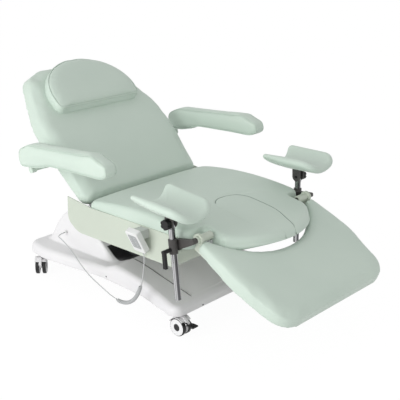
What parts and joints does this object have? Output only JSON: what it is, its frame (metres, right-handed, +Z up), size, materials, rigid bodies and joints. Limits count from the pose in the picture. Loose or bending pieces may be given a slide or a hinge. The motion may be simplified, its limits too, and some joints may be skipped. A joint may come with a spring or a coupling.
{
  "type": "gynecological examination table",
  "caption": "Padded examination table with reclining backrest, leg rest, swing-up armrests, knee troughs on posts, lift column, caster base and corded handset.",
  "frame": {"origin": "on the floor under the middle of the couch", "axes": "+Z up, -Y towards the foot end, -X the side of the handset"},
  "size_m": [0.9626, 1.6015, 0.9543],
  "materials": {
    "upholstery": "matte",
    "tinted_cover": "satin",
    "white_cover": "satin",
    "painted_steel": "satin",
    "caster_hood": "satin",
    "caster_tread": "satin",
    "black_plastic": "satin",
    "chromed_steel": "polished",
    "dark_steel": "satin",
    "grey_plastic": "satin",
    "handset_grey": "satin",
    "key_grey": "matte",
    "cord_grey": "satin"
  },
  "bodies": {
    "base": {"base_cover": "white_cover", "chassis": "painted_steel", "rear_housing": "white_cover", "control_box": "grey_plastic", "column_outer": "painted_steel", "cord_grommet": "grey_plastic", "cord_base_lead": "cord_grey"},
    "column_middle": {"column_middle": "painted_steel"},
    "seat": {"column_inner": "painted_steel", "seat_frame": "painted_steel", "side_cover": "tinted_cover", "seat_cushion": "upholstery", "socket_tubes": "chromed_steel", "hinge_pins": "chromed_steel", "back_actuator": "grey_plastic", "leg_actuator": "grey_plastic", "handset_holder": "handset_grey", "handset_body": "handset_grey", "cord_handset_lead": "cord_grey", "cord_curl": "cord_grey"},
    "seat_insert": {"seat_insert": "upholstery"},
    "back_actuator_rod": {"back_actuator_rod": "chromed_steel"},
    "leg_actuator_rod": {"leg_actuator_rod": "chromed_steel"},
    "backrest": {"backrest_frame": "painted_steel", "backrest_cushion": "upholstery", "pillow": "upholstery"},
    "legrest": {"legrest_frame": "painted_steel", "legrest_cushion": "upholstery"},
    "caster_front_right": {"caster_front_right_hood": "caster_hood"},
    "caster_front_right_wheels": {"caster_front_right_wheels": "caster_tread"},
    "caster_front_right_pedal": {"caster_front_right_pedal": "black_plastic"},
    "caster_front_left": {"caster_front_left_hood": "caster_hood"},
    "caster_front_left_wheels": {"caster_front_left_wheels": "caster_tread"},
    "caster_front_left_pedal": {"caster_front_left_pedal": "black_plastic"},
    "caster_rear_right": {"caster_rear_right_hood": "caster_hood"},
    "caster_rear_right_wheels": {"caster_rear_right_wheels": "caster_tread"},
    "caster_rear_left": {"caster_rear_left_hood": "caster_hood"},
    "caster_rear_left_wheels": {"caster_rear_left_wheels": "caster_tread"},
    "right_armrest": {"right_armrest_pad": "upholstery", "right_armrest_bracket": "dark_steel"},
    "left_armrest": {"left_armrest_pad": "upholstery", "left_armrest_bracket": "dark_steel"},
    "right_support": {"right_support_bracket": "dark_steel"},
    "right_support_clamp_lever": {"right_clamp_lever": "black_plastic"},
    "right_support_post": {"right_post": "chromed_steel"},
    "right_support_star_knob": {"right_star_knob": "black_plastic"},
    "right_support_trough": {"right_trough_shell": "dark_steel", "right_trough_pad": "upholstery"},
    "left_support": {"left_support_bracket": "dark_steel"},
    "left_support_clamp_lever": {"left_clamp_lever": "black_plastic"},
    "left_support_post": {"left_post": "chromed_steel"},
    "left_support_star_knob": {"left_star_knob": "black_plastic"},
    "left_support_trough": {"left_trough_shell": "dark_steel", "left_trough_pad": "upholstery"},
    "handset_button_1": {"handset_button_1": "key_grey"},
    "handset_button_2": {"handset_button_2": "key_grey"},
    "handset_button_3": {"handset_button_3": "key_grey"},
    "handset_button_4": {"handset_button_4": "key_grey"},
    "handset_button_5": {"handset_button_5": "key_grey"},
    "handset_button_6": {"handset_button_6": "key_grey"}
  },
  "joints": [
    {"name": "lift", "type": "slide", "parent": "base", "child": "seat", "axis": [0, 0, 1], "range_m": [0, 0.28]},
    {"name": "column_middle_slide", "type": "slide", "parent": "base", "child": "column_middle", "axis": [0, 0, 1], "range_m": [0, 0.14]},
    {"name": "backrest_hinge", "type": "hinge", "parent": "seat", "child": "backrest", "pos_m": [0, 0.275, 0.432], "axis": [-1, 0, 0], "range_deg": [-15, 42]},
    {"name": "back_actuator_slide", "type": "slide", "parent": "seat", "child": "back_actuator_rod", "axis": [0, 1, 0], "range_m": [-0.0495, 0.018]},
    {"name": "legrest_hinge", "type": "hinge", "parent": "seat", "child": "legrest", "pos_m": [0, -0.354, 0.453], "axis": [1, 0, 0], "range_deg": [-28, 22]},
    {"name": "leg_actuator_slide", "type": "slide", "parent": "seat", "child": "leg_actuator_rod", "axis": [0, 1, 0], "range_m": [-0.0385, 0.0305]},
    {"name": "insert_lift_out", "type": "slide", "parent": "seat", "child": "seat_insert", "axis": [0, 0, 1], "range_m": [0, 0.12]},
    {"name": "caster_front_right_swivel", "type": "hinge", "parent": "base", "child": "caster_front_right", "pos_m": [-0.2875, -0.19, 0.09], "axis": [0, 0, 1], "continuous": true},
    {"name": "caster_front_right_roll", "type": "hinge", "parent": "caster_front_right", "child": "caster_front_right_wheels", "pos_m": [-0.2875, -0.214, 0.0375], "axis": [1, 0, 0], "continuous": true},
    {"name": "caster_front_right_pedal_hinge", "type": "hinge", "parent": "caster_front_right", "child": "caster_front_right_pedal", "pos_m": [-0.2875, -0.254, 0.0595], "axis": [1, 0, 0], "range_deg": [0, 18]},
    {"name": "caster_front_left_swivel", "type": "hinge", "parent": "base", "child": "caster_front_left", "pos_m": [0.2875, -0.19, 0.09], "axis": [0, 0, 1], "continuous": true},
    {"name": "caster_front_left_roll", "type": "hinge", "parent": "caster_front_left", "child": "caster_front_left_wheels", "pos_m": [0.2875, -0.214, 0.0375], "axis": [1, 0, 0], "continuous": true},
    {"name": "caster_front_left_pedal_hinge", "type": "hinge", "parent": "caster_front_left", "child": "caster_front_left_pedal", "pos_m": [0.2875, -0.254, 0.0595], "axis": [1, 0, 0], "range_deg": [0, 18]},
    {"name": "caster_rear_right_swivel", "type": "hinge", "parent": "base", "child": "caster_rear_right", "pos_m": [-0.27, 0.7, 0.09], "axis": [0, 0, 1], "continuous": true},
    {"name": "caster_rear_right_roll", "type": "hinge", "parent": "caster_rear_right", "child": "caster_rear_right_wheels", "pos_m": [-0.28697, 0.68303, 0.0375], "axis": [0.7071, -0.7071, 0], "continuous": true},
    {"name": "caster_rear_left_swivel", "type": "hinge", "parent": "base", "child": "caster_rear_left", "pos_m": [0.27, 0.7, 0.09], "axis": [0, 0, 1], "continuous": true},
    {"name": "caster_rear_left_roll", "type": "hinge", "parent": "caster_rear_left", "child": "caster_rear_left_wheels", "pos_m": [0.28697, 0.68303, 0.0375], "axis": [0.7071, 0.7071, 0], "continuous": true},
    {"name": "right_armrest_flip", "type": "hinge", "parent": "backrest", "child": "right_armrest", "pos_m": [-0.3, 0.505, 0.568], "axis": [-1, 0, 0], "range_deg": [0, 90]},
    {"name": "left_armrest_flip", "type": "hinge", "parent": "backrest", "child": "left_armrest", "pos_m": [0.3, 0.505, 0.568], "axis": [-1, 0, 0], "range_deg": [0, 90]},
    {"name": "right_support_swing", "type": "hinge", "parent": "seat", "child": "right_support", "pos_m": [-0.384, -0.354, 0.453], "axis": [1, 0, 0], "range_deg": [-4, 41]},
    {"name": "right_clamp_lever_turn", "type": "hinge", "parent": "right_support", "child": "right_support_clamp_lever", "pos_m": [-0.384, -0.2759, 0.41161], "axis": [1, 0, 0], "range_deg": [-90, 90]},
    {"name": "right_post_slide", "type": "slide", "parent": "right_support", "child": "right_support_post", "axis": [0, 0.1045, 0.9945], "range_m": [-0.02, 0.15]},
    {"name": "right_trough_tilt", "type": "hinge", "parent": "right_support_post", "child": "right_support_trough", "pos_m": [-0.384, -0.26545, 0.51106], "axis": [1, 0, 0], "range_deg": [-21, 33]},
    {"name": "right_star_knob_turn", "type": "hinge", "parent": "right_support_post", "child": "right_support_star_knob", "pos_m": [-0.384, -0.26545, 0.51106], "axis": [1, 0, 0], "continuous": true},
    {"name": "left_support_swing", "type": "hinge", "parent": "seat", "child": "left_support", "pos_m": [0.384, -0.354, 0.453], "axis": [1, 0, 0], "range_deg": [-8, 35]},
    {"name": "left_clamp_lever_turn", "type": "hinge", "parent": "left_support", "child": "left_support_clamp_lever", "pos_m": [0.384, -0.272, 0.42], "axis": [1, 0, 0], "range_deg": [-90, 90]},
    {"name": "left_post_slide", "type": "slide", "parent": "left_support", "child": "left_support_post", "axis": [0, 0, 1], "range_m": [-0.02, 0.15]},
    {"name": "left_trough_tilt", "type": "hinge", "parent": "left_support_post", "child": "left_support_trough", "pos_m": [0.384, -0.272, 0.512], "axis": [1, 0, 0], "range_deg": [-10, 44]},
    {"name": "left_star_knob_turn", "type": "hinge", "parent": "left_support_post", "child": "left_support_star_knob", "pos_m": [0.384, -0.272, 0.512], "axis": [1, 0, 0], "continuous": true},
    {"name": "handset_button_1_press", "type": "slide", "parent": "seat", "child": "handset_button_1", "axis": [0.8878, 0, 0.4602], "range_m": [0, 0.0012], "stiffness_N_per_m": 400},
    {"name": "handset_button_2_press", "type": "slide", "parent": "seat", "child": "handset_button_2", "axis": [0.8878, 0, 0.4602], "range_m": [0, 0.0012], "stiffness_N_per_m": 400},
    {"name": "handset_button_3_press", "type": "slide", "parent": "seat", "child": "handset_button_3", "axis": [0.8878, 0, 0.4602], "range_m": [0, 0.0012], "stiffness_N_per_m": 400},
    {"name": "handset_button_4_press", "type": "slide", "parent": "seat", "child": "handset_button_4", "axis": [0.8878, 0, 0.4602], "range_m": [0, 0.0012], "stiffness_N_per_m": 400},
    {"name": "handset_button_5_press", "type": "slide", "parent": "seat", "child": "handset_button_5", "axis": [0.8878, 0, 0.4602], "range_m": [0, 0.0012], "stiffness_N_per_m": 400},
    {"name": "handset_button_6_press", "type": "slide", "parent": "seat", "child": "handset_button_6", "axis": [0.8878, 0, 0.4602], "range_m": [0, 0.0012], "stiffness_N_per_m": 400}
  ],
  "couplings": [
    {"joint": "column_middle_slide", "follows": "lift", "ratio": 0.5},
    {"joint": "back_actuator_slide", "follows": "backrest_hinge", "m_per_rad": -0.0672},
    {"joint": "leg_actuator_slide", "follows": "legrest_hinge", "m_per_rad": 0.0775}
  ]
}
